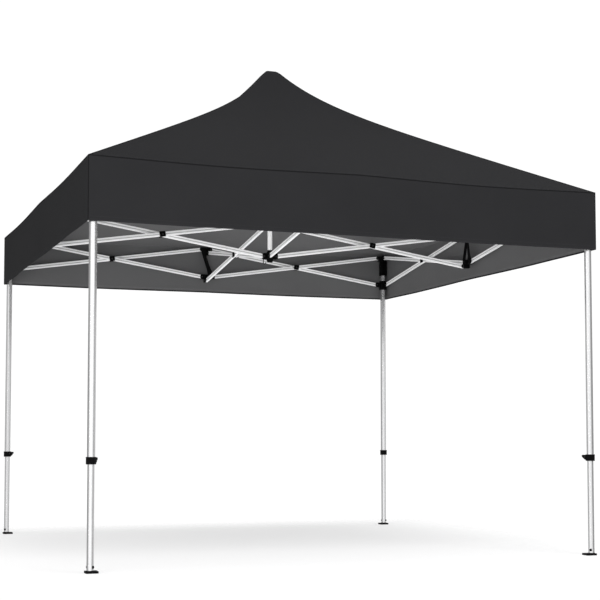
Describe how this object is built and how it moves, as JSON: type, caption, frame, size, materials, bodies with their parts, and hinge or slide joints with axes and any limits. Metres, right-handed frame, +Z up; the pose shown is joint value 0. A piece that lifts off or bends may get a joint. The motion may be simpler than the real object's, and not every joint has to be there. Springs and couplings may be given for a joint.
{
  "type": "folding party gazebo",
  "caption": "Folding gazebo with telescopic legs, scissor trusses between the legs and to a central hub, a mast and a peaked fabric canopy with a valance.",
  "frame": {"origin": "on the ground in the middle of the four legs", "axes": "+Z up along the mast, +Y from the front side to the back, +X to the right"},
  "size_m": [3, 3, 3.083],
  "materials": {
    "aluminium": "drawn tube and flat bar, satin silver",
    "black_plastic": "moulded, matt black",
    "fabric": "coated woven polyester, charcoal grey"
  },
  "bodies": {
    "hub": {"hub_upper": "black_plastic", "canopy": "fabric"},
    "mast": {"mast": "aluminium"},
    "lower_hub": {"hub_lower": "black_plastic"},
    "front_cross_low": {"front_cross_bar_low": "aluminium"},
    "front_cross_high": {"front_cross_bar_high": "aluminium"},
    "front_upper": {"front_upper_bracket": "black_plastic"},
    "front_lower": {"front_lower_bracket": "black_plastic"},
    "right_cross_low": {"right_cross_bar_low": "aluminium"},
    "right_cross_high": {"right_cross_bar_high": "aluminium"},
    "right_upper": {"right_upper_bracket": "black_plastic"},
    "right_lower": {"right_lower_bracket": "black_plastic"},
    "back_cross_low": {"back_cross_bar_low": "aluminium"},
    "back_cross_high": {"back_cross_bar_high": "aluminium"},
    "back_upper": {"back_upper_bracket": "black_plastic"},
    "back_lower": {"back_lower_bracket": "black_plastic"},
    "left_cross_low": {"left_cross_bar_low": "aluminium"},
    "left_cross_high": {"left_cross_bar_high": "aluminium"},
    "left_upper": {"left_upper_bracket": "black_plastic"},
    "left_lower": {"left_lower_bracket": "black_plastic"},
    "front_outer_left": {"front_outer_bar_left": "aluminium"},
    "front_inner_left": {"front_inner_bar_left": "aluminium"},
    "leg_front_left": {"leg_tube_front_left": "aluminium", "leg_head_front_left": "black_plastic", "leg_clamp_front_left": "black_plastic"},
    "slider_front_left": {"leg_slider_front_left": "black_plastic"},
    "inner_leg_front_left": {"inner_leg_front_left": "aluminium", "foot_front_left": "black_plastic"},
    "front_outer_right": {"front_outer_bar_right": "aluminium"},
    "front_inner_right": {"front_inner_bar_right": "aluminium"},
    "right_outer_left": {"right_outer_bar_left": "aluminium"},
    "right_inner_left": {"right_inner_bar_left": "aluminium"},
    "leg_front_right": {"leg_tube_front_right": "aluminium", "leg_head_front_right": "black_plastic", "leg_clamp_front_right": "black_plastic"},
    "slider_front_right": {"leg_slider_front_right": "black_plastic"},
    "inner_leg_front_right": {"inner_leg_front_right": "aluminium", "foot_front_right": "black_plastic"},
    "right_outer_right": {"right_outer_bar_right": "aluminium"},
    "right_inner_right": {"right_inner_bar_right": "aluminium"},
    "back_outer_left": {"back_outer_bar_left": "aluminium"},
    "back_inner_left": {"back_inner_bar_left": "aluminium"},
    "leg_back_right": {"leg_tube_back_right": "aluminium", "leg_head_back_right": "black_plastic", "leg_clamp_back_right": "black_plastic"},
    "slider_back_right": {"leg_slider_back_right": "black_plastic"},
    "inner_leg_back_right": {"inner_leg_back_right": "aluminium", "foot_back_right": "black_plastic"},
    "back_outer_right": {"back_outer_bar_right": "aluminium"},
    "back_inner_right": {"back_inner_bar_right": "aluminium"},
    "left_outer_left": {"left_outer_bar_left": "aluminium"},
    "left_inner_left": {"left_inner_bar_left": "aluminium"},
    "leg_back_left": {"leg_tube_back_left": "aluminium", "leg_head_back_left": "black_plastic", "leg_clamp_back_left": "black_plastic"},
    "slider_back_left": {"leg_slider_back_left": "black_plastic"},
    "inner_leg_back_left": {"inner_leg_back_left": "aluminium", "foot_back_left": "black_plastic"},
    "left_outer_right": {"left_outer_bar_right": "aluminium"},
    "left_inner_right": {"left_inner_bar_right": "aluminium"}
  },
  "joints": [
    {"name": "fold", "type": "hinge", "parent": "hub", "child": "front_cross_low", "pos_m": [0.009, -0.036, 2.073], "axis": [1, 0, 0], "range_deg": [0, 75], "deforming": ["canopy"]},
    {"name": "front_cross_middle", "type": "hinge", "parent": "front_cross_low", "child": "front_cross_high", "pos_m": [0, -0.725, 1.968], "axis": [1, 0, 0], "range_deg": [-150, 0]},
    {"name": "front_upper_bracket_pin", "type": "hinge", "parent": "front_cross_high", "child": "front_upper", "pos_m": [-0.009, -1.414, 2.073], "axis": [1, 0, 0], "range_deg": [0, 75]},
    {"name": "front_lower_bracket_pin", "type": "hinge", "parent": "front_cross_low", "child": "front_lower", "pos_m": [0.009, -1.414, 1.863], "axis": [1, 0, 0], "range_deg": [-75, 0]},
    {"name": "lower_hub_pin", "type": "hinge", "parent": "front_cross_high", "child": "lower_hub", "pos_m": [-0.009, -0.036, 1.863], "axis": [1, 0, 0], "range_deg": [0, 75]},
    {"name": "right_cross_low_at_hub", "type": "hinge", "parent": "hub", "child": "right_cross_low", "pos_m": [0.036, 0.009, 2.073], "axis": [0, 1, 0], "range_deg": [0, 75]},
    {"name": "right_cross_middle", "type": "hinge", "parent": "right_cross_low", "child": "right_cross_high", "pos_m": [0.725, 0, 1.968], "axis": [0, 1, 0], "range_deg": [-150, 0]},
    {"name": "right_upper_bracket_pin", "type": "hinge", "parent": "right_cross_high", "child": "right_upper", "pos_m": [1.414, -0.009, 2.073], "axis": [0, 1, 0], "range_deg": [0, 75]},
    {"name": "right_lower_bracket_pin", "type": "hinge", "parent": "right_cross_low", "child": "right_lower", "pos_m": [1.414, 0.009, 1.863], "axis": [0, 1, 0], "range_deg": [-75, 0]},
    {"name": "back_cross_low_at_hub", "type": "hinge", "parent": "hub", "child": "back_cross_low", "pos_m": [-0.009, 0.036, 2.073], "axis": [-1, 0, 0], "range_deg": [0, 75]},
    {"name": "back_cross_middle", "type": "hinge", "parent": "back_cross_low", "child": "back_cross_high", "pos_m": [0, 0.725, 1.968], "axis": [-1, 0, 0], "range_deg": [-150, 0]},
    {"name": "back_upper_bracket_pin", "type": "hinge", "parent": "back_cross_high", "child": "back_upper", "pos_m": [0.009, 1.414, 2.073], "axis": [-1, 0, 0], "range_deg": [0, 75]},
    {"name": "back_lower_bracket_pin", "type": "hinge", "parent": "back_cross_low", "child": "back_lower", "pos_m": [-0.009, 1.414, 1.863], "axis": [-1, 0, 0], "range_deg": [-75, 0]},
    {"name": "left_cross_low_at_hub", "type": "hinge", "parent": "hub", "child": "left_cross_low", "pos_m": [-0.036, -0.009, 2.073], "axis": [0, -1, 0], "range_deg": [0, 75]},
    {"name": "left_cross_middle", "type": "hinge", "parent": "left_cross_low", "child": "left_cross_high", "pos_m": [-0.725, 0, 1.968], "axis": [0, -1, 0], "range_deg": [-150, 0]},
    {"name": "left_upper_bracket_pin", "type": "hinge", "parent": "left_cross_high", "child": "left_upper", "pos_m": [-1.414, 0.009, 2.073], "axis": [0, -1, 0], "range_deg": [0, 75]},
    {"name": "left_lower_bracket_pin", "type": "hinge", "parent": "left_cross_low", "child": "left_lower", "pos_m": [-1.414, -0.009, 1.863], "axis": [0, -1, 0], "range_deg": [-75, 0]},
    {"name": "front_outer_left_pin", "type": "hinge", "parent": "front_upper", "child": "front_outer_left", "pos_m": [-0.036, -1.475, 2.104], "axis": [0, -1, 0], "range_deg": [0, 75]},
    {"name": "front_left_middle", "type": "hinge", "parent": "front_outer_left", "child": "front_inner_left", "pos_m": [-0.725, -1.466, 1.999], "axis": [0, -1, 0], "range_deg": [-150, 0]},
    {"name": "leg_front_left_pin", "type": "hinge", "parent": "front_inner_left", "child": "leg_front_left", "pos_m": [-1.414, -1.457, 2.104], "axis": [0, -1, 0], "range_deg": [0, 75]},
    {"name": "slider_front_left_pin", "type": "hinge", "parent": "front_outer_left", "child": "slider_front_left", "pos_m": [-1.414, -1.475, 1.894], "axis": [0, -1, 0], "range_deg": [-75, 0]},
    {"name": "front_outer_right_pin", "type": "hinge", "parent": "front_upper", "child": "front_outer_right", "pos_m": [0.036, -1.475, 2.104], "axis": [0, 1, 0], "range_deg": [0, 75]},
    {"name": "front_right_middle", "type": "hinge", "parent": "front_outer_right", "child": "front_inner_right", "pos_m": [0.725, -1.466, 1.999], "axis": [0, 1, 0], "range_deg": [-150, 0]},
    {"name": "right_outer_left_pin", "type": "hinge", "parent": "right_upper", "child": "right_outer_left", "pos_m": [1.475, -0.036, 2.104], "axis": [1, 0, 0], "range_deg": [0, 75]},
    {"name": "right_left_middle", "type": "hinge", "parent": "right_outer_left", "child": "right_inner_left", "pos_m": [1.466, -0.725, 1.999], "axis": [1, 0, 0], "range_deg": [-150, 0]},
    {"name": "leg_front_right_pin", "type": "hinge", "parent": "right_inner_left", "child": "leg_front_right", "pos_m": [1.457, -1.414, 2.104], "axis": [1, 0, 0], "range_deg": [0, 75]},
    {"name": "slider_front_right_pin", "type": "hinge", "parent": "right_outer_left", "child": "slider_front_right", "pos_m": [1.475, -1.414, 1.894], "axis": [1, 0, 0], "range_deg": [-75, 0]},
    {"name": "right_outer_right_pin", "type": "hinge", "parent": "right_upper", "child": "right_outer_right", "pos_m": [1.475, 0.036, 2.104], "axis": [-1, 0, 0], "range_deg": [0, 75]},
    {"name": "right_right_middle", "type": "hinge", "parent": "right_outer_right", "child": "right_inner_right", "pos_m": [1.466, 0.725, 1.999], "axis": [-1, 0, 0], "range_deg": [-150, 0]},
    {"name": "back_outer_left_pin", "type": "hinge", "parent": "back_upper", "child": "back_outer_left", "pos_m": [0.036, 1.475, 2.104], "axis": [0, 1, 0], "range_deg": [0, 75]},
    {"name": "back_left_middle", "type": "hinge", "parent": "back_outer_left", "child": "back_inner_left", "pos_m": [0.725, 1.466, 1.999], "axis": [0, 1, 0], "range_deg": [-150, 0]},
    {"name": "leg_back_right_pin", "type": "hinge", "parent": "back_inner_left", "child": "leg_back_right", "pos_m": [1.414, 1.457, 2.104], "axis": [0, 1, 0], "range_deg": [0, 75]},
    {"name": "slider_back_right_pin", "type": "hinge", "parent": "back_outer_left", "child": "slider_back_right", "pos_m": [1.414, 1.475, 1.894], "axis": [0, 1, 0], "range_deg": [-75, 0]},
    {"name": "back_outer_right_pin", "type": "hinge", "parent": "back_upper", "child": "back_outer_right", "pos_m": [-0.036, 1.475, 2.104], "axis": [0, -1, 0], "range_deg": [0, 75]},
    {"name": "back_right_middle", "type": "hinge", "parent": "back_outer_right", "child": "back_inner_right", "pos_m": [-0.725, 1.466, 1.999], "axis": [0, -1, 0], "range_deg": [-150, 0]},
    {"name": "left_outer_left_pin", "type": "hinge", "parent": "left_upper", "child": "left_outer_left", "pos_m": [-1.475, 0.036, 2.104], "axis": [-1, 0, 0], "range_deg": [0, 75]},
    {"name": "left_left_middle", "type": "hinge", "parent": "left_outer_left", "child": "left_inner_left", "pos_m": [-1.466, 0.725, 1.999], "axis": [-1, 0, 0], "range_deg": [-150, 0]},
    {"name": "leg_back_left_pin", "type": "hinge", "parent": "left_inner_left", "child": "leg_back_left", "pos_m": [-1.457, 1.414, 2.104], "axis": [-1, 0, 0], "range_deg": [0, 75]},
    {"name": "slider_back_left_pin", "type": "hinge", "parent": "left_outer_left", "child": "slider_back_left", "pos_m": [-1.475, 1.414, 1.894], "axis": [-1, 0, 0], "range_deg": [-75, 0]},
    {"name": "left_outer_right_pin", "type": "hinge", "parent": "left_upper", "child": "left_outer_right", "pos_m": [-1.475, -0.036, 2.104], "axis": [1, 0, 0], "range_deg": [0, 75]},
    {"name": "left_right_middle", "type": "hinge", "parent": "left_outer_right", "child": "left_inner_right", "pos_m": [-1.466, -0.725, 1.999], "axis": [1, 0, 0], "range_deg": [-150, 0]},
    {"name": "mast_slide", "type": "slide", "parent": "hub", "child": "mast", "axis": [0, 0, 1], "range_m": [-0.88, 0]},
    {"name": "leg_height_front_left", "type": "slide", "parent": "leg_front_left", "child": "inner_leg_front_left", "axis": [0, 0, 1], "range_m": [0, 0.5]},
    {"name": "leg_height_front_right", "type": "slide", "parent": "leg_front_right", "child": "inner_leg_front_right", "axis": [0, 0, 1], "range_m": [0, 0.5]},
    {"name": "leg_height_back_right", "type": "slide", "parent": "leg_back_right", "child": "inner_leg_back_right", "axis": [0, 0, 1], "range_m": [0, 0.5]},
    {"name": "leg_height_back_left", "type": "slide", "parent": "leg_back_left", "child": "inner_leg_back_left", "axis": [0, 0, 1], "range_m": [0, 0.5]}
  ],
  "couplings": [
    {"joint": "front_cross_middle", "follows": "fold", "ratio": -2},
    {"joint": "front_upper_bracket_pin", "follows": "fold", "ratio": 1},
    {"joint": "front_lower_bracket_pin", "follows": "fold", "ratio": -1},
    {"joint": "lower_hub_pin", "follows": "fold", "ratio": 1},
    {"joint": "right_cross_low_at_hub", "follows": "fold", "ratio": 1},
    {"joint": "right_cross_middle", "follows": "fold", "ratio": -2},
    {"joint": "right_upper_bracket_pin", "follows": "fold", "ratio": 1},
    {"joint": "right_lower_bracket_pin", "follows": "fold", "ratio": -1},
    {"joint": "back_cross_low_at_hub", "follows": "fold", "ratio": 1},
    {"joint": "back_cross_middle", "follows": "fold", "ratio": -2},
    {"joint": "back_upper_bracket_pin", "follows": "fold", "ratio": 1},
    {"joint": "back_lower_bracket_pin", "follows": "fold", "ratio": -1},
    {"joint": "left_cross_low_at_hub", "follows": "fold", "ratio": 1},
    {"joint": "left_cross_middle", "follows": "fold", "ratio": -2},
    {"joint": "left_upper_bracket_pin", "follows": "fold", "ratio": 1},
    {"joint": "left_lower_bracket_pin", "follows": "fold", "ratio": -1},
    {"joint": "front_outer_left_pin", "follows": "fold", "ratio": 1},
    {"joint": "front_left_middle", "follows": "fold", "ratio": -2},
    {"joint": "leg_front_left_pin", "follows": "fold", "ratio": 1},
    {"joint": "slider_front_left_pin", "follows": "fold", "ratio": -1},
    {"joint": "front_outer_right_pin", "follows": "fold", "ratio": 1},
    {"joint": "front_right_middle", "follows": "fold", "ratio": -2},
    {"joint": "right_outer_left_pin", "follows": "fold", "ratio": 1},
    {"joint": "right_left_middle", "follows": "fold", "ratio": -2},
    {"joint": "leg_front_right_pin", "follows": "fold", "ratio": 1},
    {"joint": "slider_front_right_pin", "follows": "fold", "ratio": -1},
    {"joint": "right_outer_right_pin", "follows": "fold", "ratio": 1},
    {"joint": "right_right_middle", "follows": "fold", "ratio": -2},
    {"joint": "back_outer_left_pin", "follows": "fold", "ratio": 1},
    {"joint": "back_left_middle", "follows": "fold", "ratio": -2},
    {"joint": "leg_back_right_pin", "follows": "fold", "ratio": 1},
    {"joint": "slider_back_right_pin", "follows": "fold", "ratio": -1},
    {"joint": "back_outer_right_pin", "follows": "fold", "ratio": 1},
    {"joint": "back_right_middle", "follows": "fold", "ratio": -2},
    {"joint": "left_outer_left_pin", "follows": "fold", "ratio": 1},
    {"joint": "left_left_middle", "follows": "fold", "ratio": -2},
    {"joint": "leg_back_left_pin", "follows": "fold", "ratio": 1},
    {"joint": "slider_back_left_pin", "follows": "fold", "ratio": -1},
    {"joint": "left_outer_right_pin", "follows": "fold", "ratio": 1},
    {"joint": "left_right_middle", "follows": "fold", "ratio": -2},
    {"joint": "mast_slide", "follows": "fold", "m_per_rad": -0.6722}
  ]
}
